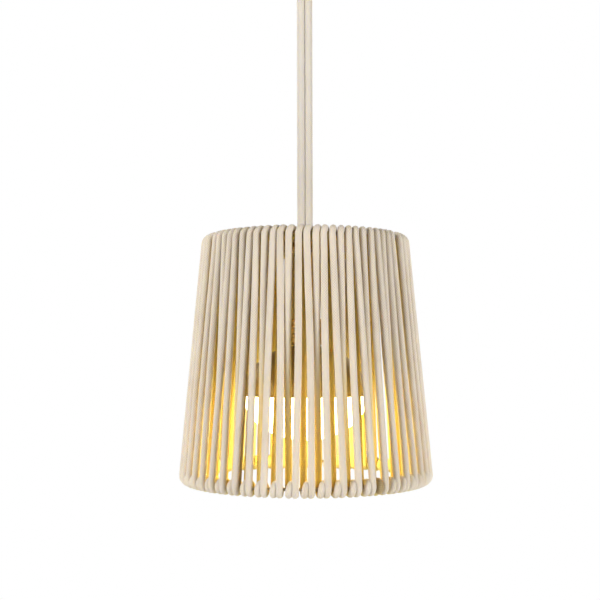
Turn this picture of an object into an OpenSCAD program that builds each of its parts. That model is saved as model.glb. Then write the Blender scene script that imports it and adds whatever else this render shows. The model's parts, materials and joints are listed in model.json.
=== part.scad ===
// Hanging lantern: a steel two-ring frame wound up and down with one long rope,
// a globe bulb in a screw lampholder, a suspension rope with a textile flex beside it,
// and a ceiling canopy with its hook. Millimetres, +Z up.
// The origin is the middle of the ceiling plate's top face; the lantern hangs below it.

/* [Shade] */
// Radius of the top ring, to the middle of its rod
top_ring_r = 96.5; // [90:0.5:120]
// Radius of the bottom ring, to the middle of its rod
bottom_ring_r = 117; // [112:1:140]
// Height from the top ring to the bottom ring, rod middles
ring_gap = 227.5; // [200:0.5:320]
// Diameter of the steel rod of both rings
ring_rod_d = 3; // [2.5:0.1:3.2]
// Diameter of the three upright rods and the three spider arms
upright_d = 3; // [2.5:0.1:3]

/* [Rope winding] */
// Diameter of the rope that is wound on the rings
rope_d = 6.4; // [5:0.1:6.4]
// Repeats of the winding round the shade: each holds two long turns
repeats = 27; // [18:9:27]
// Radius of a turn's bend round a ring, to the middle of the rope
bend_r = 4.8; // [4.8:0.1:5.2]
// Angle that each turn is skewed by, so that its back strand shows beside its front one
turn_skew = 18; // [10:1:18]

/* [Suspension] */
// Drop from the canopy's bottom edge to the top ring's rod
cord_drop = 280; // [200:5:900]
// Diameter of the suspension rope
hang_rope_d = 7.2; // [6:0.1:7.5]
// Diameter of the textile power flex
flex_d = 7.6; // [6.5:0.1:7.8]

/* [Ceiling canopy] */
// Outer diameter of the canopy
canopy_d = 100; // [100:1:130]
// Height of the canopy
canopy_h = 60; // [58:1:80]
// Wall of the canopy
canopy_wall = 1.5; // [1:0.1:2]
// Diameter of the opening inside the outlet bush
outlet_d = 28; // [26:1:32]
// Distance between the two ceiling screw holes
hole_spacing = 60; // [56:1:66]
// Diameter of the ceiling screw holes
hole_d = 4.5; // [4:0.5:5.5]

/* [Lampholder and bulb] */
// Drop from the top ring to the top of the lampholder shell
holder_drop = 75; // [60:1:90]
// Outer diameter of the ribbed lampholder shell
holder_d = 46; // [42:1:50]
// Height of the lampholder shell
holder_h = 25; // [24:1:30]
// Diameter of the globe bulb
bulb_d = 124; // [95:1:126]
// Height of the bulb's opaque upper bowl
bowl_h = 51; // [44:1:56]
// Height of the bulb's opal lower dome
dome_h = 44; // [36:1:52]
// Diameter of the bulb's screw cap
cap_d = 26.2; // [26:0.1:26.4]

/* [Hidden] */
$fn = 64;

// Rings
top_ring_z = -canopy_h - cord_drop;
bottom_ring_z = top_ring_z - ring_gap;
ring_rod_r = ring_rod_d / 2;
upright_r = upright_d / 2;

// Winding. One repeat holds two long turns, one extra turn on the top ring between
// repeats, and two extra turns on the bottom ring.
rope_r = rope_d / 2;
repeat_angle = 360 / repeats;
top_pitch = repeat_angle / 3;
bottom_pitch = repeat_angle / 4;
sectors = 9;
repeats_per_sector = repeats / sectors;
uprights = 3;
repeats_per_upright = repeats / uprights;
// In each third of the shade, the repeat that a spider arm follows
arm_repeat = round(repeats_per_upright * 2 / 3);
// The first long turn of repeat 0 is wound round the upright on +X
winding_start = (bottom_pitch + top_pitch / 2) / 2;
// The bottom turn that the rope's end is tucked into
rope_end_turn = round(repeats * 5 / 3);
// The skew moves the inner half of a turn along the ring by this angle
inner_shift = atan(bend_r * sin(turn_skew) / top_ring_r);

// Ceiling fittings
clear = 0.3;
plate_w = 20;
plate_t = 2;
plate_l = canopy_d - 8;
tab_w = 12;
tab_h = 12;
tab_x = plate_l / 2 - 2;
tab_screw_z = -8;
tab_screw_r = 1.45;
nut_t = 3;
hook_wire_r = 2;
hook_r = 5.5;
hook_z = -19;
link_wire_r = 1.5;
link_r = 7;
link_z = hook_z + hook_wire_r + link_wire_r + clear - link_r;
link_low_z = link_z - link_r;
eye_wire_r = 2;
eye_r = 5.5;
eye_z = link_low_z + link_wire_r + eye_wire_r + clear - eye_r;
sleeve_wall = 0.5;
sleeve_l = 14;
sleeve_top_z = eye_z - eye_r - 1;
sleeve_low_z = sleeve_top_z - sleeve_l;
edge_r = 8;
bush_wall = 2.5;
bush_groove = 1;
bush_flange = 1.5;
block_l = 16;
block_w = 16;
block_h = 11;
block_x = -17.5;
block_low_z = -plate_t - block_h;
terminal_r = 1.7;
terminal_gap = 5;
core_r = 1.2;

// The two cords hang side by side, far enough apart for the rope's crimped sleeve
rope_x = hang_rope_d / 2 + 0.15;
flex_x = -flex_d / 2 - 0.4;
flex_top_z = -46.3;

// Hub and stem
fit = 0.05;
hub_r = 16;
hub_t = 6;
hub_top_z = top_ring_z + hub_t / 2;
hub_low_z = top_ring_z - hub_t / 2;
arm_socket = 3;
grip_r = 10.5;
grip_h = 15;
grip_top_z = hub_top_z + grip_h;
grip_screw_r = 1.5;
grip_screw_l = 4;
stem_r = 5;
stem_bore_r = 3.5;
stem_into_grip = 8;
stem_into_neck = 10;
stem_nut_t = 4;

// Lid, which clears the inner side of the winding
lid_gap = 1;
lid_t = 1.2;
lid_r = top_ring_r - bend_r - rope_r - lid_gap;

// Lampholder
holder_top_z = top_ring_z - holder_drop;
holder_low_z = holder_top_z - holder_h;
holder_r = holder_d / 2;
holder_wall = 2;
rib_r = 1;
ribs = 6;
neck_r = 9;
neck_h = 12;
insert_h = 4;
insert_z = holder_top_z - holder_wall - insert_h;
thread_wall = 0.6;
thread_r = cap_d / 2 + 0.45;
contact_r = 3;
contact_h = 1;

// Bulb
bulb_r = bulb_d / 2;
bulb_wall = 1.6;
bulb_neck_r = 17;
bowl_arc = acos(bulb_neck_r / bulb_r);
bowl_top_z = holder_low_z - 1.5;
rim_z = bowl_top_z - bowl_h * sin(bowl_arc);
cap_h = 16;
cap_thread_r = 0.5;
insulator_h = 2;
bulb_contact_h = insert_z - contact_h - clear - (bowl_top_z + cap_h + insulator_h);
board_r = bulb_r - bulb_wall - 0.6;
board_t = 1.6;
board_z = rim_z + 2;
chips = 12;
chip_w = 5;
driver_r = 14;
driver_h = 22;

// Stops of the hanging cords from the top down. Both are taut and plumb.
hang_rope_route = [
    [rope_x, 0, sleeve_low_z],
    [rope_x, 0, (2 * sleeve_low_z + grip_top_z) / 3],
    [rope_x, 0, (sleeve_low_z + 2 * grip_top_z) / 3],
    [rope_x, 0, grip_top_z]
];
flex_route = [
    [flex_x, 0, flex_top_z],
    [flex_x, 0, (2 * flex_top_z + grip_top_z) / 3],
    [flex_x, 0, (flex_top_z + 2 * grip_top_z) / 3],
    [flex_x, 0, grip_top_z]
];
// Stops of one mains core from its terminal down to the flex's stripped end
core_route = [
    [-15, 3.5, block_low_z],
    [-15, 3.5, -24],
    [-13, 3, -32],
    [-9.5, 2.4, -38],
    [-6, 1.6, -42.5],
    [-4.8, 1.4, -44.6]
];

// ---------------------------------------------------------------- helpers

// A place on a ring, from its radius, angle and height
function on_ring(r, angle, z) = [r * cos(angle), r * sin(angle), z];

// A quarter of an ellipse from its side (0 degrees) to the angle last, in even steps
function ellipse_arc(a, b, z, last, steps = 14) = [
    for (i = [0 : steps]) [a * cos(last * i / steps), z + b * sin(last * i / steps)]
];

// The same list, last point first
function backwards(points) = [for (i = [len(points) - 1 : -1 : 0]) points[i]];

// A round bend: wire of radius wire_r on a circle of radius r, from 0 to sweep degrees
module bend(r, wire_r, sweep = 360) {
    rotate_extrude(angle = sweep) translate([r, 0]) circle(wire_r);
}

// A round cord through its stops, listed from the top down, as one closed skin
module cord(route, d, sides = 12) {
    stops = len(route);
    corners = [
        for (stop = route, i = [0 : sides - 1])
            stop + [d / 2 * cos(360 * i / sides), d / 2 * sin(360 * i / sides), 0]
    ];
    skin = [
        for (s = [0 : stops - 2], i = [0 : sides - 1])
            let (j = (i + 1) % sides)
                [s * sides + i, s * sides + j, (s + 1) * sides + j, (s + 1) * sides + i]
    ];
    top_face = [for (i = [sides - 1 : -1 : 0]) i];
    low_face = [for (i = [0 : sides - 1]) (stops - 1) * sides + i];
    polyhedron(corners, concat([top_face], skin, [low_face]));
}

// A hexagon nut with a round bore, standing on z = 0
module hex_nut(across, h, bore_r) {
    difference() {
        cylinder(r = across / sqrt(3), h = h, $fn = 6);
        translate([0, 0, -1]) cylinder(r = bore_r, h = h + 2);
    }
}

// A tube standing on z = 0
module tube(outer_r, inner_r, h) {
    difference() {
        cylinder(r = outer_r, h = h);
        translate([0, 0, -1]) cylinder(r = inner_r, h = h + 2);
    }
}

// ---------------------------------------------------------------- ceiling fittings

// Strap plate with turned-down ends that the canopy screws into
module ceiling_bracket() {
    color("silver") difference() {
        union() {
            translate([-plate_l / 2, -plate_w / 2, -plate_t]) cube([plate_l, plate_w, plate_t]);
            for (side = [-1, 1])
                translate([side * tab_x - plate_t / 2, -tab_w / 2, -tab_h]) cube([plate_t, tab_w, tab_h]);
        }
        for (side = [-1, 1]) {
            translate([side * hole_spacing / 2, 0, -plate_t - 1]) cylinder(d = hole_d, h = plate_t + 2);
            translate([side * tab_x, 0, tab_screw_z]) rotate([0, 90, 0])
                cylinder(r = tab_screw_r + fit, h = 3 * plate_t, center = true);
        }
        translate([0, 0, -plate_t - 1]) cylinder(r = hook_wire_r + fit, h = plate_t + 2);
    }
}

// Open hook of round wire: a shank through the plate, then most of a circle
module ceiling_hook() {
    shank_low_z = hook_z + 2 * hook_r;
    color("gainsboro") {
        translate([0, 0, shank_low_z]) cylinder(r = hook_wire_r, h = -shank_low_z);
        translate([0, 0, hook_z + hook_r]) rotate([90, 0, 0]) rotate([0, 0, 90])
            bend(hook_r, hook_wire_r, 300);
    }
}

module hook_nut() {
    color("gainsboro") translate([0, 0, -plate_t - nut_t]) hex_nut(7, nut_t, hook_wire_r + fit);
}

module terminal_block() {
    color("white") difference() {
        translate([block_x - block_l / 2, -block_w / 2, block_low_z]) cube([block_l, block_w, block_h]);
        for (row = [-1 : 1]) translate([block_x - 3, row * terminal_gap, block_low_z - 1])
            cylinder(r = terminal_r + fit, h = 6);
    }
}

module terminal_screws() {
    color("gainsboro") for (row = [-1 : 1])
        translate([block_x - 3, row * terminal_gap, block_low_z - 0.5]) difference() {
            cylinder(r = terminal_r, h = 5);
            translate([-terminal_r - 1, -0.3, -1]) cube([2 * terminal_r + 2, 0.6, 1.6]);
        }
}

// Live and neutral cores from the terminal block down to the flex's stripped end
module core_wires() {
    color("saddlebrown") cord(core_route, 2 * core_r, 8);
    color("steelblue") mirror([0, 1, 0]) cord(core_route, 2 * core_r, 8);
}

// Outline of half a cup with a rounded lower edge, standing on y = 0
module cup_outline(r, h, edge) {
    square([r - edge, h]);
    translate([0, edge]) square([r, h - edge]);
    translate([r - edge, edge]) circle(edge);
}

// Spun cup, open upwards, with the cords' outlet in its floor and two side screw holes
module ceiling_canopy() {
    r = canopy_d / 2;
    color("ivory") translate([0, 0, -canopy_h]) difference() {
        rotate_extrude() intersection() {
            difference() {
                cup_outline(r, canopy_h, edge_r);
                translate([0, canopy_wall])
                    cup_outline(r - canopy_wall, canopy_h, edge_r - canopy_wall);
            }
            square([r, canopy_h]);
        }
        translate([0, 0, -1]) cylinder(r = outlet_d / 2 + bush_wall - bush_groove, h = canopy_wall + 2);
        for (side = [-1, 1])
            translate([side * r, 0, canopy_h + tab_screw_z]) rotate([0, 90, 0])
                cylinder(r = tab_screw_r + fit, h = 8, center = true);
    }
}

// Two dome-headed screws that hold the canopy to the bracket's ends
module canopy_screws() {
    r = canopy_d / 2;
    color("gainsboro") for (side = [0, 180])
        rotate([0, 0, side]) translate([tab_x - 3, 0, tab_screw_z]) rotate([0, 90, 0]) {
            cylinder(r = tab_screw_r, h = r - tab_x + 3.5);
            translate([0, 0, r - tab_x + 3 + fit]) difference() {
                cylinder(r = 3, h = 1.8);
                translate([-4, -0.4, 1]) cube([8, 0.8, 2]);
            }
        }
}

// Grooved rubber ring that lines the outlet and keeps the cords off the metal edge
module outlet_bush() {
    inner = outlet_d / 2;
    outer = inner + bush_wall;
    groove = outer - bush_groove - fit;
    low = -bush_flange;
    high = canopy_wall + bush_flange;
    color("dimgray") translate([0, 0, -canopy_h]) rotate_extrude() polygon([
        [inner, low], [outer, low], [outer, -fit], [groove, -fit], [groove, canopy_wall + fit],
        [outer, canopy_wall + fit], [outer, high], [inner, high]
    ]);
}

// ---------------------------------------------------------------- suspension

// Round link, at right angles to the hook
module hook_link() {
    color("gainsboro") translate([0, 0, link_z]) rotate([90, 0, 90]) bend(link_r, link_wire_r);
}

// Forged eye with a crimped sleeve that holds the suspension rope
module rope_eye() {
    color("gainsboro") {
        translate([0, 0, eye_z]) rotate([90, 0, 0]) bend(eye_r, eye_wire_r);
        translate([rope_x, 0, sleeve_low_z]) cylinder(r = hang_rope_d / 2 + sleeve_wall, h = sleeve_l);
    }
}

module suspension_rope() {
    color("antiquewhite") cord(hang_rope_route, hang_rope_d);
}

module power_flex() {
    color("linen") cord(flex_route, flex_d);
}

// ---------------------------------------------------------------- frame

// Clamp on the hub that grips both cords; the stem screws into it from below
module cord_grip() {
    color("goldenrod") difference() {
        translate([0, 0, hub_top_z]) cylinder(r = grip_r, h = grip_h);
        translate([0, 0, hub_top_z - 1]) cylinder(r = stem_r + fit, h = stem_into_grip + 1.2);
        for (side = [0, 180]) rotate([0, 0, side])
            translate([0, grip_r + 1, grip_top_z - 4]) rotate([90, 0, 0])
                cylinder(r = grip_screw_r + fit, h = grip_screw_l + 1.2);
    }
}

module grip_screws() {
    color("gainsboro") for (side = [0, 180]) rotate([0, 0, side])
        translate([0, grip_r, grip_top_z - 4]) rotate([90, 0, 0])
            cylinder(r = grip_screw_r, h = grip_screw_l);
}

// Angle of the extra turn on the top ring that follows a repeat
function extra_turn_angle(repeat) = winding_start + (repeat + 0.5) * repeat_angle;

// The arms pass through the three places on the top ring that have no extra turn
module at_arms() {
    for (i = [0 : uprights - 1])
        rotate([0, 0, extra_turn_angle(i * repeats_per_upright + arm_repeat) + inner_shift])
            translate([0, 0, top_ring_z]) rotate([0, 90, 0]) children();
}

module spider_hub() {
    color("goldenrod") difference() {
        translate([0, 0, hub_low_z]) cylinder(r = hub_r, h = hub_t);
        translate([0, 0, hub_low_z - 1]) cylinder(r = stem_r + fit, h = hub_t + 2);
        at_arms() translate([0, 0, hub_r - arm_socket]) cylinder(r = upright_r + fit, h = arm_socket + 1);
    }
}

module spider_arms() {
    color("goldenrod") at_arms() translate([0, 0, hub_r - arm_socket])
        cylinder(r = upright_r, h = top_ring_r - ring_rod_r - hub_r + arm_socket + fit);
}

// Disc that closes the top of the shade: it lies on the arms, round the hub
module top_lid() {
    color("goldenrod") translate([0, 0, top_ring_z + upright_r + fit]) tube(lid_r, hub_r + fit, lid_t);
}

module top_ring() {
    color("goldenrod") translate([0, 0, top_ring_z]) bend(top_ring_r, ring_rod_r);
}

module bottom_ring() {
    color("goldenrod") translate([0, 0, bottom_ring_z]) bend(bottom_ring_r, ring_rod_r);
}

// Both ends of a long turn's middle line: first is 0 or 1 within its repeat
function turn_low(repeat, first) =
    on_ring(bottom_ring_r, winding_start + repeat * repeat_angle + (2 * first - 1) * bottom_pitch,
        bottom_ring_z);
function turn_high(repeat, first) =
    on_ring(top_ring_r, winding_start + repeat * repeat_angle + (first - 0.5) * top_pitch, top_ring_z);

// Stands the children on low, with their z axis towards high and their x axis outwards
module along(low, high, spin = 0) {
    way = high - low;
    turn = atan2(way.y, way.x);
    outwards = atan2(low.y + high.y, low.x + high.x);
    translate(low) rotate([0, acos(way.z / norm(way)), turn]) rotate([0, 0, outwards - turn + spin])
        children();
}

// Welded rods between the rings, each inside a long turn of the rope
module frame_uprights() {
    color("goldenrod") for (i = [0 : uprights - 1]) {
        low = turn_low(i * repeats_per_upright, 0);
        high = turn_high(i * repeats_per_upright, 0);
        along(low, high) translate([0, 0, ring_rod_r - fit])
            cylinder(r = upright_r, h = norm(high - low) - 2 * ring_rod_r + 2 * fit);
    }
}

// ---------------------------------------------------------------- rope winding

// One long turn: up the outside, over the top ring, down the inside, under the bottom ring
module long_turn(low, high) {
    length = norm(high - low);
    along(low, high, -turn_skew) {
        for (side = [-1, 1]) translate([side * bend_r, 0, 0]) cylinder(r = rope_r, h = length);
        translate([0, 0, length]) rotate([90, 0, 0]) bend(bend_r, rope_r, 180);
        rotate([-90, 0, 0]) bend(bend_r, rope_r, 180);
    }
}

// One extra turn round a ring's rod
module rim_turn(ring_r, angle, z, wire_r = rope_r) {
    translate(on_ring(ring_r, angle, z)) rotate([90, 0, angle - turn_skew]) bend(bend_r, wire_r);
}

// One sector of the wall of rope
module rope_wall(sector) {
    color("wheat") for (i = [0 : repeats_per_sector - 1], first = [0, 1]) {
        repeat = sector * repeats_per_sector + i;
        long_turn(turn_low(repeat, first), turn_high(repeat, first));
    }
}

// Extra turns on the top ring, one between repeats, except where an arm passes
module top_rim_turns() {
    color("antiquewhite") for (repeat = [0 : repeats - 1])
        if (repeat % repeats_per_upright != arm_repeat)
            rim_turn(top_ring_r, extra_turn_angle(repeat), top_ring_z);
}

// Extra turns on the bottom ring, one after each long turn, except where the end is tucked
module bottom_rim_turns() {
    color("antiquewhite") for (i = [0 : 2 * repeats - 1])
        if (i != rope_end_turn)
            rim_turn(bottom_ring_r, winding_start + i * repeat_angle / 2, bottom_ring_z);
}

// The rope's tucked and whipped end
module rope_end() {
    color("tan") rim_turn(bottom_ring_r, winding_start + rope_end_turn * repeat_angle / 2, bottom_ring_z);
}

// ---------------------------------------------------------------- stem and lampholder

stem_top_z = hub_top_z + stem_into_grip;
stem_low_z = holder_top_z + neck_h - stem_into_neck;

module stem_tube() {
    color("goldenrod") translate([0, 0, stem_low_z]) tube(stem_r, stem_bore_r, stem_top_z - stem_low_z);
}

module stem_nut() {
    color("goldenrod") translate([0, 0, hub_low_z - stem_nut_t]) hex_nut(14, stem_nut_t, stem_r + fit);
}

// Live and neutral wires inside the stem
module stem_wires() {
    for (side = [-1, 1])
        color(side < 0 ? "saddlebrown" : "steelblue")
            translate([side * 1.5, 0, insert_z + insert_h])
                cylinder(r = core_r, h = stem_top_z - insert_z - insert_h);
}

module lampholder_neck() {
    color("goldenrod") translate([0, 0, holder_top_z]) difference() {
        cylinder(r = neck_r, h = neck_h);
        translate([0, 0, -1]) cylinder(r = stem_bore_r, h = neck_h + 2);
        translate([0, 0, neck_h - stem_into_neck]) cylinder(r = stem_r + fit, h = stem_into_neck + 1);
    }
}

// Ribbed skirt, open downwards
module lampholder_shell() {
    rib_pitch = (holder_h - 2 * rib_r) / (ribs - 1);
    color("darkgoldenrod") translate([0, 0, holder_low_z]) difference() {
        rotate_extrude() {
            square([holder_r - rib_r, holder_h]);
            for (i = [0 : ribs - 1]) translate([holder_r - rib_r, rib_r + i * rib_pitch]) circle(rib_r);
        }
        translate([0, 0, -1])
            cylinder(r = holder_r - holder_wall - rib_r / 2, h = holder_h - holder_wall + 1);
        cylinder(r = stem_bore_r, h = holder_h + 1);
    }
}

// Ceramic disc that carries the thread and the contact
module lampholder_insert() {
    color("white") translate([0, 0, insert_z]) difference() {
        cylinder(r = holder_r - holder_wall - rib_r / 2 - fit, h = insert_h - fit);
        translate([0, 0, -1]) cylinder(r = 1.2, h = insert_h + 2);
    }
}

module lampholder_thread() {
    color("gold") translate([0, 0, holder_low_z + 1])
        tube(thread_r + thread_wall, thread_r, insert_z - holder_low_z - 1);
}

module lampholder_contact() {
    color("gold") translate([0, 0, insert_z - contact_h]) cylinder(r = contact_r, h = contact_h);
}

// ---------------------------------------------------------------- bulb

// Opaque upper bowl, closed at its neck
module bulb_housing() {
    outer = ellipse_arc(bulb_r, bowl_h, rim_z, bowl_arc);
    inner = ellipse_arc(bulb_r - bulb_wall, bowl_h - bulb_wall, rim_z, bowl_arc);
    inner_top = rim_z + (bowl_h - bulb_wall) * sin(bowl_arc);
    color("gray") rotate_extrude()
        polygon(concat(outer, [[0, bowl_top_z], [0, inner_top]], backwards(inner)));
}

// Opal lower dome
module bulb_diffuser() {
    outer = ellipse_arc(bulb_r, -dome_h, rim_z, 90);
    inner = ellipse_arc(bulb_r - bulb_wall, bulb_wall - dome_h, rim_z, 90);
    color("lightyellow") rotate_extrude() polygon(concat(outer, backwards(inner)));
}

// Threaded cap
module bulb_screw_cap() {
    core = cap_d / 2 - cap_thread_r;
    color("silver") translate([0, 0, bowl_top_z]) rotate_extrude() {
        square([core, cap_h]);
        for (i = [0 : 3]) translate([core, 2 + i * 3.6]) circle(cap_thread_r);
    }
}

module bulb_insulator() {
    color("black") translate([0, 0, bowl_top_z + cap_h])
        cylinder(r1 = cap_d / 2 - 3, r2 = 5, h = insulator_h);
}

module bulb_contact() {
    color("silver") translate([0, 0, bowl_top_z + cap_h + insulator_h])
        cylinder(r = contact_r, h = bulb_contact_h);
}

module led_board() {
    color("whitesmoke") translate([0, 0, board_z]) cylinder(r = board_r, h = board_t);
}

module led_chips() {
    color("khaki") for (i = [0 : chips - 1]) rotate([0, 0, i * 360 / chips])
        translate([board_r * 0.6, -chip_w / 2, board_z - 1]) cube([chip_w, chip_w, 1]);
}

module led_driver() {
    color("green") translate([0, 0, board_z + board_t]) cylinder(r = driver_r, h = driver_h);
}

ceiling_bracket();
ceiling_hook();
hook_nut();
terminal_block();
terminal_screws();
core_wires();
ceiling_canopy();
canopy_screws();
outlet_bush();
hook_link();
rope_eye();
suspension_rope();
power_flex();
cord_grip();
grip_screws();
spider_hub();
spider_arms();
top_lid();
top_ring();
bottom_ring();
frame_uprights();
stem_tube();
stem_nut();
stem_wires();
lampholder_neck();
lampholder_shell();
lampholder_insert();
lampholder_thread();
lampholder_contact();
rope_wall(0);  // rope_wall_1
rope_wall(1);  // rope_wall_2
rope_wall(2);  // rope_wall_3
rope_wall(3);  // rope_wall_4
rope_wall(4);  // rope_wall_5
rope_wall(5);  // rope_wall_6
rope_wall(6);  // rope_wall_7
rope_wall(7);  // rope_wall_8
rope_wall(8);  // rope_wall_9
top_rim_turns();
bottom_rim_turns();
rope_end();
bulb_housing();
bulb_diffuser();
bulb_screw_cap();
bulb_insulator();
bulb_contact();
led_board();
led_chips();
led_driver();
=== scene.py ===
"""Hanging lantern: a rope-wound drum shade with a globe lamp, hung from a ceiling canopy."""
import json
import math
import random

import bpy
import numpy as np
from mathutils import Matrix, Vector


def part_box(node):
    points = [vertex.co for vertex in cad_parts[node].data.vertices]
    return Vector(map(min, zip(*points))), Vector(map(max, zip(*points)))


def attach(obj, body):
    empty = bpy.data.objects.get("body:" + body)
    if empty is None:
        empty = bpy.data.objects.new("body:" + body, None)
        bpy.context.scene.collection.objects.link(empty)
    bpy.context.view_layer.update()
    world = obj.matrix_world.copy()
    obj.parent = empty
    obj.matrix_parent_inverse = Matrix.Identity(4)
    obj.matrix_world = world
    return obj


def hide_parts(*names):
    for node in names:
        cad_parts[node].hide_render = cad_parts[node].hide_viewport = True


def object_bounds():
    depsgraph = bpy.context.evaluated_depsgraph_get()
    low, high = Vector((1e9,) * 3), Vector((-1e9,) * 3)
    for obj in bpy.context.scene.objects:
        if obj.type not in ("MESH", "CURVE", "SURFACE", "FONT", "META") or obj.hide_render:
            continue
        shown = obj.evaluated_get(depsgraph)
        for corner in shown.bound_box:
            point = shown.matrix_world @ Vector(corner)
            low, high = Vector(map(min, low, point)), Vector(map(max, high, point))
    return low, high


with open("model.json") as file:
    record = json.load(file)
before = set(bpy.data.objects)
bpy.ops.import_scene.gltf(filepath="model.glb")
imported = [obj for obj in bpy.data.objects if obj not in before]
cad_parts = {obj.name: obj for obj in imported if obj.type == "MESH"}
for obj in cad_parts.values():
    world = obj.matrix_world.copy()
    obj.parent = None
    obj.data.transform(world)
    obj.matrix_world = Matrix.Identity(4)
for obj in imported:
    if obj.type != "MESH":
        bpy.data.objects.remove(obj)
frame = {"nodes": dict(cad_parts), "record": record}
cad_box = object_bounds()
nodes = frame["nodes"]

MM = 0.001

# ---------------------------------------------------------------- sizes from the frame


def middle(node):
    """The middle of a CAD node's box."""
    low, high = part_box(node)
    return (low + high) / 2


def span(node):
    """The three sides of a CAD node's box."""
    low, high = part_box(node)
    return high - low


RING_ROD_R = span("top_ring").z / 2
TOP_R = span("top_ring").x / 2 - RING_ROD_R
BOTTOM_R = span("bottom_ring").x / 2 - RING_ROD_R
TOP_Z = middle("top_ring").z
BOTTOM_Z = middle("bottom_ring").z
EYE_LEVEL = (TOP_Z + BOTTOM_Z) / 2

# ---------------------------------------------------------------- camera

VIEW_DISTANCE = 0.96
VIEW_OFFSET = -0.0055
VIEW_PITCH = math.radians(3.49)
VIEW_ROLL = math.radians(-0.1)
LENS_MM, SENSOR_MM = 57.6, 36.0


def add_camera():
    """Stands level with the middle of the shade and looks slightly up."""
    data = bpy.data.cameras.new("view")
    data.lens, data.sensor_width = LENS_MM, SENSOR_MM
    data.clip_start, data.clip_end = 0.01, 50
    camera = bpy.data.objects.new("view", data)
    bpy.context.scene.collection.objects.link(camera)
    camera.location = (VIEW_OFFSET, -VIEW_DISTANCE, EYE_LEVEL)
    camera.rotation_mode = "ZXY"
    camera.rotation_euler = (math.pi / 2 + VIEW_PITCH, 0, 0)
    camera.rotation_euler.rotate_axis("Z", VIEW_ROLL)
    bpy.context.scene.camera = camera


add_camera()

# ---------------------------------------------------------------- tube meshes


def smoothed(points, passes):
    """Points pulled towards their neighbours, with the ends held."""
    p = np.array(points, float)
    for _ in range(passes):
        p[1:-1] = 0.5 * p[1:-1] + 0.25 * (p[:-2] + p[2:])
    return p


def evenly(points, step):
    """The same line with points about one step apart."""
    p = np.array(points, float)
    gaps = np.linalg.norm(np.diff(p, axis=0), axis=1)
    along = np.concatenate([[0], np.cumsum(gaps)])
    count = max(2, int(round(along[-1] / step)) + 1)
    at = np.linspace(0, along[-1], count)
    return np.column_stack([np.interp(at, along, p[:, k]) for k in range(3)])


def turned_frames(line):
    """A side direction at each point that turns no more than the line does."""
    ways = np.gradient(line, axis=0)
    ways /= np.linalg.norm(ways, axis=1)[:, None]
    start = np.array([0.0, 1.0, 0.0]) if abs(ways[0][1]) < 0.9 else np.array([1.0, 0.0, 0.0])
    side = np.cross(ways[0], start)
    side /= np.linalg.norm(side)
    sides = [side]
    for way in ways[1:]:
        side = sides[-1] - way * np.dot(sides[-1], way)
        sides.append(side / np.linalg.norm(side))
    sides = np.array(sides)
    return sides, np.cross(ways, sides)


def tube_uv(ring, corner, around, step):
    """UVs of a tube's side faces: once round the tube, and in metres along it."""
    turn = np.column_stack([corner.ravel(), corner.ravel() + 1]) / around
    length = np.column_stack([ring.ravel(), ring.ravel() + 1]) * step
    ends = ((0, 0), (1, 0), (1, 1), (0, 1))
    return np.stack([np.column_stack([turn[:, i], length[:, j]]) for i, j in ends], axis=1).reshape(-1, 2)


def tube_caps(rings, around):
    """A fan of triangles over each end, round the two middle corners that come last."""
    k = np.arange(around)
    beside = (k + 1) % around
    last_ring = (rings - 1) * around
    first, last = rings * around, rings * around + 1
    return np.concatenate(
        [
            np.column_stack([np.full(around, first), beside, k]),
            np.column_stack([np.full(around, last), last_ring + k, last_ring + beside]),
        ]
    )


def tube_parts(line, radius, around, relief):
    """Corners, side faces, caps and UVs of one closed round tube.

    relief(ring, corner) is added to the radius.
    """
    u, v = turned_frames(line)
    rings = len(line)
    angle = 2 * math.pi * np.arange(around) / around
    ring, corner = np.meshgrid(np.arange(rings), np.arange(around), indexing="ij")
    reach = radius + relief(ring, corner)
    out = (
        line[:, None, :]
        + (reach * np.cos(angle))[:, :, None] * u[:, None, :]
        + (reach * np.sin(angle))[:, :, None] * v[:, None, :]
    )
    corners = np.concatenate([out.reshape(-1, 3), line[:1], line[-1:]])
    ring, corner = ring[:-1], corner[:-1]
    a = (ring * around + corner).ravel()
    b = (ring * around + (corner + 1) % around).ravel()
    quads = np.column_stack([a, b, b + around, a + around])
    uv = tube_uv(ring, corner, around, np.linalg.norm(line[1] - line[0]))
    return corners, quads, tube_caps(rings, around), uv


def mesh_from(name, parts):
    """One object from several tubes."""
    corners, loops, starts, uvs, base, at = [], [], [], [], 0, 0
    for points, quads, caps, uv in parts:
        corners.append(points)
        loops += [(quads + base).ravel(), (caps + base).ravel()]
        starts.append(at + 4 * np.arange(len(quads)))
        at += 4 * len(quads)
        starts.append(at + 3 * np.arange(len(caps)))
        at += 3 * len(caps)
        uvs += [uv, np.zeros((3 * len(caps), 2))]
        base += len(points)
    corners, loops = np.concatenate(corners), np.concatenate(loops)
    starts, uvs = np.concatenate(starts), np.concatenate(uvs)
    mesh = bpy.data.meshes.new(name)
    mesh.vertices.add(len(corners))
    mesh.vertices.foreach_set("co", corners.ravel())
    mesh.loops.add(len(loops))
    mesh.loops.foreach_set("vertex_index", loops.astype(np.int32))
    mesh.polygons.add(len(starts))
    mesh.polygons.foreach_set("loop_start", starts.astype(np.int32))
    mesh.update(calc_edges=True)
    mesh.polygons.foreach_set("use_smooth", np.ones(len(starts), bool))
    layer = mesh.uv_layers.new(name="along")
    layer.data.foreach_set("uv", uvs.ravel())
    mesh.validate()
    mesh.update()
    piece = bpy.data.objects.new(name, mesh)
    bpy.context.scene.collection.objects.link(piece)
    return piece


def plaited(depth):
    """Relief of a plait: raised and sunk strands side by side and end to end."""
    return lambda ring, corner: depth * np.where((ring + corner) % 2 == 0, 1.0, -1.0)


# ---------------------------------------------------------------- hanging cords

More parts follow.
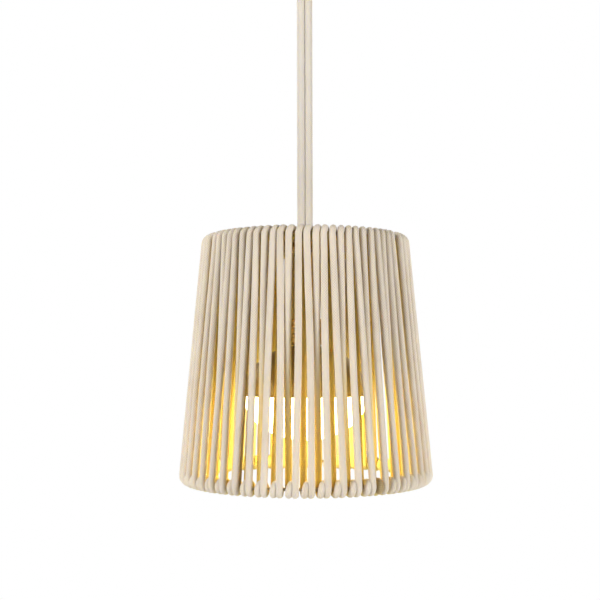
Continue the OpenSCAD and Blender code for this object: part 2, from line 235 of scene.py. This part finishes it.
# The soft covers bulge until the two cords touch
COVER_STRETCH = 0.24 * MM
HANGING = (
    # node, material slot, corners round, plait step, plait depth, far end, what is on it
    ("suspension_rope", "hanging_rope", 20, 1.1 * MM, 0.10 * MM, "fitting", ["rope_eye"]),
    ("power_flex", "textile_flex", 24, 0.8 * MM, 0.06 * MM, "connector", ["core_wires", "terminal_block"]),
)


def add_hanging_cords():
    """Both cords hang taut and plumb from the canopy to the clamp on the hub."""
    made = []
    for node, slot_name, around, step, depth, far_end, on_it in HANGING:
        low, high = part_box(node)
        x, d = (low.x + high.x) / 2, high.x - low.x
        # The route's four stops are those of the CAD model
        stops = [high.z, (2 * high.z + low.z) / 3, (high.z + 2 * low.z) / 3, low.z]
        line = evenly([(x, 0, z) for z in stops], step)
        tube = tube_parts(line, d / 2 + COVER_STRETCH, around, plaited(depth))
        piece = mesh_from(node + "_braided", [tube])
        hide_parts(node)
        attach(piece, "lantern")
        made.append((piece, slot_name))
    return made


cords = add_hanging_cords()

# ---------------------------------------------------------------- the wound rope

SECTORS = 9
REPEATS = 27
UPRIGHTS = 3
REPEATS_PER_SECTOR = REPEATS // SECTORS
REPEATS_PER_UPRIGHT = REPEATS // UPRIGHTS
ROPE_R = 3.15 * MM
BEND_R = 4.8 * MM
TOP_SKEW = math.radians(28)
BOTTOM_SKEW = math.radians(18)
REPEAT_ANGLE = 360 / REPEATS
TOP_PITCH = REPEAT_ANGLE / 3
BOTTOM_PITCH = REPEAT_ANGLE / 4
WINDING_START = (BOTTOM_PITCH + TOP_PITCH / 2) / 2
# In each third of the shade, the repeat beside a spider arm; and the repeat with the rope's end
ARM_REPEAT = 6
ROPE_END_REPEAT = 22

# The plaited rope's mesh
AROUND = 16
ROPE_STEP = 1.25 * MM
PLAIT_DEPTH = 0.15 * MM
ROUGH_STEP = 0.8 * MM
SMOOTHING = 3
BEND_STEPS = 14
HALF_STEPS = 12

# How unevenly the rope is wound: degrees along the ring, and sideways bows
FIRST_SEED = 40
TURN_SWAY = 0.42
EXTRA_SWAY = 0.3
FRONT_BOW = 1.2 * MM
BACK_BOW = 0.3 * MM

# How far the small loops inside the top ring hang down
LOOP_DEPTH = 3.0 * MM

# The rope's first end stops this many degrees short of its place, under the bottom ring
TUCK_SHORT = 0.6
TUCK_AROUND = 285
TUCK_STEPS = 8

# A bend's two ends stand this far along the ring from its middle
TOP_SHIFT = math.degrees(math.atan(BEND_R * math.sin(TOP_SKEW) / TOP_R))
BOTTOM_SHIFT = math.degrees(math.atan(BEND_R * math.sin(BOTTOM_SKEW) / BOTTOM_R))
# Back strands land beside the extra turns, so that they fill the gaps between front strands
BACK_SHIFT = 0.75 * BOTTOM_PITCH
LOOP_SHIFT = 0.6 * BOTTOM_PITCH
# The wall leans in towards the top, so strands leave the bends a little off level
LEAN = math.degrees(math.atan((BOTTOM_R - TOP_R) / (TOP_Z - BOTTOM_Z)))
# A strand that goes in from outside one ring to inside the other leans by this as well
CROSS = math.degrees(2 * BEND_R / (TOP_Z - BOTTOM_Z))


def on_bend(ring_r, ring_z, angle, around):
    """A place on the rope's bend round a ring: around is 0 outside, 90 above, 180 inside."""
    skew = TOP_SKEW if ring_r == TOP_R else BOTTOM_SKEW
    out = ring_r + BEND_R * math.cos(skew) * math.cos(math.radians(around))
    up = ring_z + BEND_R * math.sin(math.radians(around))
    a = math.radians(angle)
    return (out * math.cos(a), out * math.sin(a), up)


def bend(ring_r, ring_z, angles, arounds, steps):
    """The rope's way round a ring, from one angle and side to another."""
    return [
        on_bend(
            ring_r,
            ring_z,
            angles[0] + (angles[1] - angles[0]) * t / steps,
            arounds[0] + (arounds[1] - arounds[0]) * t / steps,
        )
        for t in range(steps + 1)
    ]


def strand(start, end, bow, steps=10):
    """A straight run between the rings, with a slight sideways bow."""
    a, b = np.array(start), np.array(end)
    middle_point = (a + b) / 2
    sideways = np.array([-middle_point[1], middle_point[0], 0.0])
    sideways /= np.linalg.norm(sideways)
    return [
        tuple(a + (b - a) * t / steps + sideways * bow * math.sin(math.pi * t / steps) ** 2)
        for t in range(1, steps)
    ]


def top(angles, arounds, steps=BEND_STEPS):
    return bend(TOP_R, TOP_Z, angles, arounds, steps)


def bottom(angles, arounds, steps=BEND_STEPS):
    return bend(BOTTOM_R, BOTTOM_Z, angles, arounds, steps)


def rope_centre(line, step):
    """The rope's middle line with its corners rounded off and points one step apart."""
    return evenly(smoothed(evenly(line, ROUGH_STEP), SMOOTHING), step)


def repeat_route(repeat, draw):
    """One repeat of the winding: two long turns and the extra turns between.

    It starts and ends inside the bottom ring. The second turn comes back down from the
    outside of the top ring, over a small loop inside the ring, except beside a spider arm.
    """
    mid = WINDING_START + repeat * REPEAT_ANGLE
    low, high = BOTTOM_SHIFT, TOP_SHIFT
    sway = lambda size: draw.uniform(-size, size)
    first_low, second_low = mid - BOTTOM_PITCH, mid + BOTTOM_PITCH
    first_high = mid - TOP_PITCH / 2 + sway(TURN_SWAY)
    second_high = mid + TOP_PITCH / 2 + sway(TURN_SWAY)
    extra_high = mid + 1.5 * TOP_PITCH + sway(EXTRA_SWAY)
    extra_low = mid + 2 * BOTTOM_PITCH

    # Under the bottom ring from the last extra turn, and up the first front strand
    line = bottom((mid - 2 * BOTTOM_PITCH + LOOP_SHIFT, first_low - low), (180, 360 + LEAN))
    line += strand(line[-1], on_bend(TOP_R, TOP_Z, first_high - high, LEAN), sway(FRONT_BOW))
    line += top((first_high - high, first_high + high), (LEAN, 180 + LEAN))
    back_low = on_bend(BOTTOM_R, BOTTOM_Z, first_low + BACK_SHIFT, 180 + LEAN)
    line += strand(line[-1], back_low, BACK_BOW + sway(FRONT_BOW))
    # One extra turn on the bottom ring, then up the second front strand
    line += bottom((first_low + BACK_SHIFT, mid), (180 + LEAN, 360), HALF_STEPS)
    line += bottom((mid, mid + LOOP_SHIFT), (0, 180), HALF_STEPS)[1:]
    line += bottom((mid + LOOP_SHIFT, second_low - low), (180, 360 + LEAN))[1:]
    line += strand(line[-1], on_bend(TOP_R, TOP_Z, second_high - high, LEAN), sway(FRONT_BOW))

    if repeat % REPEATS_PER_UPRIGHT != ARM_REPEAT:
        line += top((second_high - high, second_high + high), (LEAN, 180))
        line += inner_loop(second_high + high, extra_high + high)
        line += top((extra_high + high, extra_high - high), (180, LEAN - CROSS))
        back_low = on_bend(BOTTOM_R, BOTTOM_Z, second_low + BACK_SHIFT, 180 + LEAN - CROSS)
    else:
        line += top((second_high - high, second_high + high), (LEAN, 180 + LEAN))
        back_low = on_bend(BOTTOM_R, BOTTOM_Z, second_low + BACK_SHIFT, 180 + LEAN)
    line += strand(line[-1], back_low, sway(FRONT_BOW))

    # The last extra turn, or the rope's first end tucked under the ring
    if repeat == ROPE_END_REPEAT:
        tuck = (second_low + BACK_SHIFT, extra_low - low - TUCK_SHORT)
        return line + bottom(tuck, (180 + LEAN, TUCK_AROUND), TUCK_STEPS)
    line += bottom((second_low + BACK_SHIFT, extra_low), (180 + LEAN, 360), HALF_STEPS)
    line += bottom((extra_low, extra_low + LOOP_SHIFT), (0, 180), HALF_STEPS)[1:]
    return line


def inner_loop(start, end, steps=10):
    """Down inside the top ring and up again, one place further along."""
    out = TOP_R - BEND_R * math.cos(TOP_SKEW)
    points = []
    for t in range(1, steps):
        turn = math.pi * t / steps
        a = math.radians(start + (end - start) * (1 - math.cos(turn)) / 2)
        points.append((out * math.cos(a), out * math.sin(a), TOP_Z - LOOP_DEPTH * math.sin(turn)))
    return points


def sector_lines(sector):
    """The rope's whole way through one sector, as one line, or two where its ends are."""
    draw = random.Random(FIRST_SEED + sector)
    lines = [[]]
    for i in range(REPEATS_PER_SECTOR):
        repeat = sector * REPEATS_PER_SECTOR + i
        route = repeat_route(repeat, draw)
        lines[-1] += route[1:] if lines[-1] else route
        if repeat == ROPE_END_REPEAT:
            lines.append([])
    return lines


def add_rope_wall():
    """Nine lengths of the one long rope, each standing for its sector's CAD turns."""
    pieces = []
    for sector in range(SECTORS):
        parts = []
        for line in sector_lines(sector):
            parts.append(tube_parts(rope_centre(line, ROPE_STEP), ROPE_R, AROUND, plaited(PLAIT_DEPTH)))
        piece = mesh_from(f"shade_rope_{sector + 1}", parts)
        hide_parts(f"rope_wall_{sector + 1}", "top_rim_turns", "bottom_rim_turns")
        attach(piece, "lantern")
        pieces.append(piece)
    return pieces


rope_pieces = add_rope_wall()

# ---------------------------------------------------------------- the rope's end

WHIPPING_R = 0.45 * MM
WHIPPING_TURNS = 6
# The rope's last end stops outside the ring, this far round its bend, in degrees
END_AROUND = -62
END_STEPS = 26
END_STEP = 0.6 * MM
TIP_RINGS = 3
TIP_TAPER = 0.9 * MM


def ring_parts(centre, way, radius, wire_r, around=40, corners=8):
    """One closed ring of thin twine round a rope."""
    way = np.array(way) / np.linalg.norm(way)
    side = np.cross(way, [0.0, 0.0, 1.0])
    side /= np.linalg.norm(side)
    up = np.cross(way, side)
    turn = 2 * math.pi * np.arange(around) / around
    tilt = 2 * math.pi * np.arange(corners) / corners
    reach = radius + wire_r * np.cos(tilt)
    points = (
        np.array(centre)
        + (np.cos(turn)[:, None] * reach)[:, :, None] * side
        + (np.sin(turn)[:, None] * reach)[:, :, None] * up
        + (wire_r * np.sin(tilt))[None, :, None] * way
    ).reshape(-1, 3)
    ring, corner = np.meshgrid(np.arange(around), np.arange(corners), indexing="ij")
    beside, above = (ring + 1) % around, (corner + 1) % corners
    here, there = ring * corners, beside * corners
    quads = [here + corner, there + corner, there + above, here + above]
    quads = np.stack(quads, axis=2).reshape(-1, 4)
    return points, quads, np.zeros((0, 3), int), np.zeros((4 * len(quads), 2))


def add_rope_end():
    """The rope's last end comes over the bottom ring and stops outside it, bound with twine."""
    place = WINDING_START + ROPE_END_REPEAT * REPEAT_ANGLE + 2 * BOTTOM_PITCH
    line = bottom((place + BOTTOM_SHIFT, place - BOTTOM_SHIFT), (180, END_AROUND), END_STEPS)
    centre = rope_centre(line, END_STEP)
    rings = len(centre)

    def relief(ring, corner):
        tip = np.clip((ring - (rings - TIP_RINGS)) / TIP_RINGS, 0, 1)
        return plaited(PLAIT_DEPTH)(ring // 2, corner) - TIP_TAPER * tip**2

    parts = [tube_parts(centre, ROPE_R, AROUND, relief)]
    first = rings - TIP_RINGS - 1 - 2 * WHIPPING_TURNS
    for at in range(first, first + 2 * WHIPPING_TURNS, 2):
        parts.append(ring_parts(centre[at], centre[at + 1] - centre[at - 1], ROPE_R, WHIPPING_R))
    piece = mesh_from("rope_end_whipped", parts)
    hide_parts("rope_end")
    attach(piece, "lantern")
    return piece


rope_end = add_rope_end()

# ---------------------------------------------------------------- the bulb's two shells

BULB_WALL = 1.6 * MM
NECK_R = 17 * MM
NECK_STEP = 1.2 * MM
CAP_HOLE_R = 1.0 * MM
LIP_H = 2.4 * MM
LIP_GROOVE = 0.5 * MM
RIM_ROUND = 0.4 * MM
DOME_GAP = 0.3 * MM
# The dome's walls stop just short of its lowest point, in degrees
DOME_END = 89.2


def add_lathe(name, profile, around=160):
    """A closed solid of revolution; the profile's (radius, height) points run once round its wall."""
    rows = len(profile)
    turn = 2 * math.pi * np.arange(around) / around
    r = np.array([p[0] for p in profile])
    z = np.array([p[1] for p in profile])
    points = np.stack(
        [r[:, None] * np.cos(turn), r[:, None] * np.sin(turn), np.repeat(z[:, None], around, axis=1)],
        axis=2,
    ).reshape(-1, 3)
    faces = []
    for row in range(rows):
        low, high = row * around, (row + 1) % rows * around
        faces += [(low + k, low + (k + 1) % around, high + (k + 1) % around, high + k) for k in range(around)]
    mesh = bpy.data.meshes.new(name)
    mesh.from_pydata([tuple(p) for p in points], [], faces)
    for face in mesh.polygons:
        face.use_smooth = True
    mesh.update()
    piece = bpy.data.objects.new(name, mesh)
    bpy.context.scene.collection.objects.link(piece)
    return piece


def bulge(radius, height, base, start, end, steps):
    """Part of an ellipse in profile: from start to end degrees above its widest place."""
    return [
        (radius * math.cos(math.radians(a)), base + height * math.sin(math.radians(a)))
        for a in (start + (end - start) * k / steps for k in range(steps + 1))
    ]


def add_bulb_shells():
    """The opaque bowl above, with a moulded lip, and the opal dome below it."""
    low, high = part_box("bulb_housing")
    rim, outer = low.z, (high.x - low.x) / 2
    arc = math.degrees(math.acos(NECK_R / outer))
    rise = (high.z - low.z) / math.sin(math.radians(arc))
    lip, groove = rim + LIP_H, outer - LIP_GROOVE
    wall = bulge(outer, rise, rim, 6, arc, 60)
    inside = bulge(outer - BULB_WALL, rise - BULB_WALL, rim, arc - 1.5, 0, 48)
    profile = [(outer - RIM_ROUND, rim), (outer, rim + RIM_ROUND), (outer, lip)]
    profile += [(groove, lip + 0.2 * MM), (groove, lip + 0.9 * MM)]
    profile += [p for p in wall if p[1] > lip + 1.3 * MM]
    profile += [(NECK_R - NECK_STEP, high.z), (CAP_HOLE_R, high.z), (CAP_HOLE_R, high.z - BULB_WALL)]
    profile += inside
    bowl = add_lathe("bulb_bowl", profile)
    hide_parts("bulb_housing")
    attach(bowl, "bulb")

    low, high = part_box("bulb_diffuser")
    drop = high.z - low.z
    profile = bulge(outer - DOME_GAP, -drop, high.z, 0, DOME_END, 56)
    profile += bulge(outer - BULB_WALL, BULB_WALL - drop, high.z, DOME_END, 0, 56)
    dome = add_lathe("bulb_dome", profile)
    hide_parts("bulb_diffuser")
    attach(dome, "bulb")
    return (bowl, "bulb_metal"), (dome, "opal_diffuser")


bulb_pieces = add_bulb_shells()

# ---------------------------------------------------------------- materials


# Sockets of a Mix node that mixes colours
MIX_A, MIX_B, MIXED = 6, 7, 2
YARN_DEPTH = 0.2 * MM
METAL_BUMP = 0.02 * MM
COAT_BUMP = 0.03 * MM


class Shade:
    """A material's node tree, built a node at a time."""

    def __init__(self, name):
        self.material = bpy.data.materials.new(name)
        self.material.use_nodes = True
        self.tree = self.material.node_tree
        self.shader = next(n for n in self.tree.nodes if n.type == "BSDF_PRINCIPLED")
        self.output = next(n for n in self.tree.nodes if n.type == "OUTPUT_MATERIAL")

    def node(self, kind, **settings):
        made = self.tree.nodes.new("ShaderNode" + kind)
        for key, value in settings.items():
            setattr(made, key, value)
        return made

    def link(self, source, target):
        self.tree.links.new(source, target)

    def set(self, values):
        for socket, value in values.items():
            self.shader.inputs[socket].default_value = value

    def spread(self, low, high, factor):
        """A colour between low and high, by a 0 to 1 output."""
        mix = self.node("Mix", data_type="RGBA")
        mix.inputs[MIX_A].default_value = (*low, 1)
        mix.inputs[MIX_B].default_value = (*high, 1)
        self.link(factor, mix.inputs[0])
        return mix.outputs[MIXED]

    def noise(self, scale, detail=3):
        made = self.node("TexNoise")
        made.inputs["Scale"].default_value = scale
        made.inputs["Detail"].default_value = detail
        self.link(self.node("TexCoord").outputs["Object"], made.inputs["Vector"])
        return made.outputs["Fac"]

    def bump(self, height, distance, strength=1.0):
        made = self.node("Bump")
        made.inputs["Strength"].default_value = strength
        made.inputs["Distance"].default_value = distance
        self.link(height, made.inputs["Height"])
        self.link(made.outputs["Normal"], self.shader.inputs["Normal"])


def plait_height(shade, around, step):
    """Height of fine yarns lying across a rope both ways, from the UVs along it."""
    uv = shade.node("UVMap", uv_map="along").outputs["UV"]
    split = shade.node("SeparateXYZ")
    shade.link(uv, split.inputs[0])
    yarns = []
    for sign in (1, -1):
        turns = shade.node("Math", operation="MULTIPLY")
        shade.link(split.outputs[0], turns.inputs[0])
        turns.inputs[1].default_value = around * math.pi
        length = shade.node("Math", operation="MULTIPLY_ADD")
        shade.link(split.outputs[1], length.inputs[0])
        length.inputs[1].default_value = sign * math.pi / step
        shade.link(turns.outputs[0], length.inputs[2])
        wave = shade.node("Math", operation="SINE")
        shade.link(length.outputs[0], wave.inputs[0])
        yarns.append(wave.outputs[0])
    both = shade.node("Math", operation="MAXIMUM")
    shade.link(yarns[0], both.inputs[0])
    shade.link(yarns[1], both.inputs[1])
    return both.outputs[0]


def painted_lamplight_mask(shade):
    """Where the lamp's light is painted into the rope's colour: 1 on the lamp's side of the wall, 0 outside
    the wall and above the closed top.
    """
    split = shade.node("SeparateXYZ")
    shade.link(shade.node("TexCoord").outputs["Object"], split.inputs[0])
    flat = shade.node("CombineXYZ")
    shade.link(split.outputs[0], flat.inputs[0])
    shade.link(split.outputs[1], flat.inputs[1])
    radius = shade.node("VectorMath", operation="LENGTH")
    shade.link(flat.outputs[0], radius.inputs[0])
    # The wall's radius grows down the shade; this is how far outside it a place lies
    slope = (BOTTOM_R - TOP_R) / (TOP_Z - BOTTOM_Z)
    wall = TOP_R + slope * TOP_Z
    outside = shade.node("Math", operation="MULTIPLY_ADD")
    shade.link(split.outputs[2], outside.inputs[0])
    outside.inputs[1].default_value = slope
    shade.link(radius.outputs["Value"], outside.inputs[2])
    side = shade.node("MapRange", interpolation_type="SMOOTHSTEP")
    shade.link(outside.outputs[0], side.inputs["Value"])
    side.inputs["From Min"].default_value = wall + 0.9 * BEND_R
    side.inputs["From Max"].default_value = wall - 0.3 * BEND_R
    below = shade.node("MapRange", interpolation_type="SMOOTHSTEP")
    shade.link(split.outputs[2], below.inputs["Value"])
    below.inputs["From Min"].default_value = TOP_Z + 3 * MM
    below.inputs["From Max"].default_value = TOP_Z
    both = shade.node("Math", operation="MULTIPLY")
    shade.link(side.outputs[0], both.inputs[0])
    shade.link(below.outputs[0], both.inputs[1])
    return both.outputs[0]


COTTON = {
    "Roughness": 0.88,
    "Specular IOR Level": 0.25,
    "Sheen Weight": 0.12,
    "Sheen Roughness": 0.5,
    "Subsurface Weight": 0.4,
    "Subsurface Radius": (1.0, 0.85, 0.3),
    "Subsurface Scale": 3.5 * MM,
}


def rope_material(name, pale, valley_shade_and_patch_colour, around, step, painted_lamplight=None):
    """Plaited natural cotton: yarns both ways, painted shade in the valleys between them, slight patches of
    colour, soft sheen.

    On the shade, the strands on the lamp's side get painted lamplight: the lamp's warm light painted into
    their colour.
    """
    shade = Shade(name)
    yarns = plait_height(shade, around, step)
    height = shade.node("MapRange", interpolation_type="SMOOTHSTEP")
    shade.link(yarns, height.inputs["Value"])
    height.inputs["From Min"].default_value = -0.4
    patch = shade.noise(28.0)
    # Painted shade: the plait's valleys take the deep colour and the raised yarns the pale one, with random
    # patches of real tone on top
    valley_shade_and_patches = shade.node("Math", operation="MULTIPLY_ADD")
    shade.link(height.outputs[0], valley_shade_and_patches.inputs[0])
    valley_shade_and_patches.inputs[1].default_value = 0.6
    shade.link(patch, valley_shade_and_patches.inputs[2])
    cotton = shade.spread(valley_shade_and_patch_colour, pale, valley_shade_and_patches.outputs[0])
    # Painted lamplight: on the lamp's side of the wall the lamp's warm glow is painted into the cotton's
    # colour
    if painted_lamplight:
        lamplight_paint = shade.node("Mix", data_type="RGBA")
        shade.link(painted_lamplight_mask(shade), lamplight_paint.inputs[0])
        shade.link(cotton, lamplight_paint.inputs[MIX_A])
        lamplight_paint.inputs[MIX_B].default_value = (*painted_lamplight, 1)
        cotton = lamplight_paint.outputs[MIXED]
    shade.link(cotton, shade.shader.inputs["Base Color"])
    shade.set(COTTON)
    fibre = shade.noise(2600.0, 2)
    both = shade.node("Math", operation="MULTIPLY_ADD")
    shade.link(fibre, both.inputs[0])
    both.inputs[1].default_value = 0.35
    shade.link(height.outputs[0], both.inputs[2])
    shade.bump(both.outputs[0], YARN_DEPTH)
    return shade.material


def metal_material(name, colour, dark, roughness, grain=900.0, metallic=1.0):
    """Metal with fine handling marks and slightly uneven polish."""
    shade = Shade(name)
    marks = shade.noise(grain, 4)
    shade.link(shade.spread(dark, colour, shade.noise(60.0)), shade.shader.inputs["Base Color"])
    rough = shade.node("MapRange")
    shade.link(marks, rough.inputs["Value"])
    rough.inputs["To Min"].default_value = roughness - 0.06
    rough.inputs["To Max"].default_value = roughness + 0.08
    shade.link(rough.outputs[0], shade.shader.inputs["Roughness"])
    shade.set({"Metallic": metallic})
    shade.bump(marks, METAL_BUMP, 0.5)
    return shade.material


def coat_material(name, colour, dark, roughness):
    """Paint, moulded plastic, rubber or ceramic: even colour with a fine skin."""
    shade = Shade(name)
    shade.link(shade.spread(dark, colour, shade.noise(45.0)), shade.shader.inputs["Base Color"])
    shade.set({"Roughness": roughness})
    shade.bump(shade.noise(700.0), COAT_BUMP, 0.6)
    return shade.material


def glow_material(name, colour, light, strength):
    """Opal plastic lit from inside, a little brighter in patches."""
    shade = Shade(name)
    cloud = shade.noise(14.0, 1)
    dim = tuple(0.94 * c for c in light)
    glow = shade.spread(dim, light, cloud)
    shade.set({"Base Color": (*colour, 1), "Roughness": 0.35, "Emission Strength": strength})
    shade.link(glow, shade.shader.inputs["Emission Color"])
    shade.bump(shade.noise(900.0, 2), METAL_BUMP, 0.4)
    return shade.material


MATERIALS = {
    # The shade rope's last colour is its painted lamplight, the lamp's warm glow on the strands inside
    "shade_rope": rope_material(
        "shade_rope", (0.83, 0.75, 0.63), (0.56, 0.45, 0.31), 16, 1.25 * MM, painted_lamplight=(0.82, 0.65, 0.20)
    ),
    "hanging_rope": rope_material("hanging_rope", (0.80, 0.75, 0.66), (0.66, 0.60, 0.49), 20, 1.1 * MM),
    "textile_flex": rope_material("textile_flex", (0.82, 0.77, 0.69), (0.68, 0.62, 0.52), 24, 0.8 * MM),
    "whipped_end": rope_material("whipped_end", (0.52, 0.39, 0.20), (0.36, 0.25, 0.11), 16, 1.2 * MM),
    "zinc_steel": metal_material("zinc_steel", (0.66, 0.66, 0.64), (0.52, 0.52, 0.50), 0.32),
    "aged_brass": metal_material("aged_brass", (0.66, 0.47, 0.19), (0.48, 0.32, 0.12), 0.34),
    "bright_brass": metal_material("bright_brass", (0.80, 0.60, 0.26), (0.70, 0.50, 0.20), 0.22),
    "nickel_cap": metal_material("nickel_cap", (0.70, 0.69, 0.66), (0.58, 0.57, 0.54), 0.24),
    "board_metal": metal_material("board_metal", (0.80, 0.80, 0.78), (0.74, 0.74, 0.72), 0.5, 500.0, 0.2),
    "frame_steel": coat_material("frame_steel", (0.56, 0.43, 0.22), (0.46, 0.35, 0.17), 0.42),
    "bulb_metal": metal_material("bulb_metal", (0.40, 0.31, 0.14), (0.32, 0.24, 0.10), 0.36, 700.0, 0.6),
    "canopy_paint": coat_material("canopy_paint", (0.72, 0.67, 0.57), (0.68, 0.63, 0.53), 0.45),
    "white_nylon": coat_material("white_nylon", (0.82, 0.80, 0.75), (0.76, 0.74, 0.69), 0.5),
    "core_insulation": coat_material("core_insulation", (0.22, 0.12, 0.06), (0.17, 0.09, 0.05), 0.45),
    "bush_rubber": coat_material("bush_rubber", (0.50, 0.44, 0.34), (0.44, 0.39, 0.30), 0.8),
    "white_ceramic": coat_material("white_ceramic", (0.86, 0.85, 0.81), (0.82, 0.80, 0.76), 0.15),
    "black_insulator": coat_material("black_insulator", (0.02, 0.02, 0.02), (0.03, 0.03, 0.03), 0.12),
    "driver_potting": coat_material("driver_potting", (0.07, 0.10, 0.07), (0.05, 0.07, 0.05), 0.6),
    "opal_diffuser": glow_material("opal_diffuser", (0.9, 0.86, 0.78), (1.0, 0.86, 0.42), 13.5),
    "led_phosphor": glow_material("led_phosphor", (0.9, 0.75, 0.3), (1.0, 0.72, 0.40), 4.0),
}


def dress(piece, slot_name):
    piece.data.materials.clear()
    piece.data.materials.append(MATERIALS[slot_name])


for piece, slot_name in cords:
    dress(piece, slot_name)
for piece in rope_pieces:
    dress(piece, "shade_rope")
dress(rope_end, "whipped_end")
for piece, slot_name in bulb_pieces:
    dress(piece, slot_name)
for part in frame["record"]["subparts"]:
    node = nodes[part["node"]]
    for place in range(len(node.material_slots)):
        node.material_slots[place].material = MATERIALS[part["material_slot"]]

# ---------------------------------------------------------------- room and light

FLOOR_DROP = 0.9
FLOOR_R = 2.6
FLOOR_CORNERS = 96
AMBIENT = 0.09
LIGHT_COLOUR = (1.0, 0.985, 0.985)
LIGHTS = (
    # name, x, y, height above the shade's middle, size, power
    ("key", -1.7, -1.4, 0.6, 1.0, 39),
    ("fill", 1.8, -1.3, 0.2, 1.0, 33),
    ("back left", -1.6, 1.7, 0.9, 1.3, 26),
    ("back right", 1.3, 1.9, 0.7, 1.3, 26),
)


def add_floor():
    """A wide pale floor, well below the lantern."""
    mesh = bpy.data.meshes.new("floor")
    turns = [2 * math.pi * k / FLOOR_CORNERS for k in range(FLOOR_CORNERS)]
    low = cad_box[0][2] - FLOOR_DROP
    rim = [(FLOOR_R * math.cos(turn), FLOOR_R * math.sin(turn), low) for turn in turns]
    mesh.from_pydata(rim, [], [range(FLOOR_CORNERS)])
    floor = bpy.data.objects.new("floor", mesh)
    bpy.context.scene.collection.objects.link(floor)
    floor.data.materials.append(coat_material("floor", (0.90, 0.90, 0.90), (0.88, 0.88, 0.88), 0.9))


def add_light(name, place, size, energy):
    """A soft round light that points at the middle of the shade."""
    data = bpy.data.lights.new(name, "AREA")
    data.shape, data.size = "DISK", size
    data.energy, data.color = energy, LIGHT_COLOUR
    lamp = bpy.data.objects.new(name, data)
    bpy.context.scene.collection.objects.link(lamp)
    lamp.location = place
    towards = Vector((0, 0, EYE_LEVEL)) - Vector(place)
    lamp.rotation_euler = towards.to_track_quat("-Z", "Y").to_euler()


def add_studio():
    """White surroundings, a soft key from the front left, a fill and two lights behind.

    The surroundings light the lantern less than they show, so that the bulb's own warm
    light tells inside the shade.
    """
    world = bpy.data.worlds.new("studio")
    world.use_nodes = True
    tree = world.node_tree
    back = tree.nodes["Background"]
    back.inputs["Color"].default_value = (1.0, 1.0, 1.0, 1)
    seen = tree.nodes.new("ShaderNodeLightPath")
    power = tree.nodes.new("ShaderNodeMapRange")
    power.inputs["To Min"].default_value = AMBIENT
    power.inputs["To Max"].default_value = 1.0
    tree.links.new(seen.outputs["Is Camera Ray"], power.inputs["Value"])
    tree.links.new(power.outputs[0], back.inputs["Strength"])
    bpy.context.scene.world = world
    for name, x, y, height, size, energy in LIGHTS:
        add_light(name, (x, y, EYE_LEVEL + height), size, energy)


add_floor()
add_studio()
bpy.context.scene.view_settings.view_transform = "Standard"
bpy.context.scene.view_settings.look = "None"
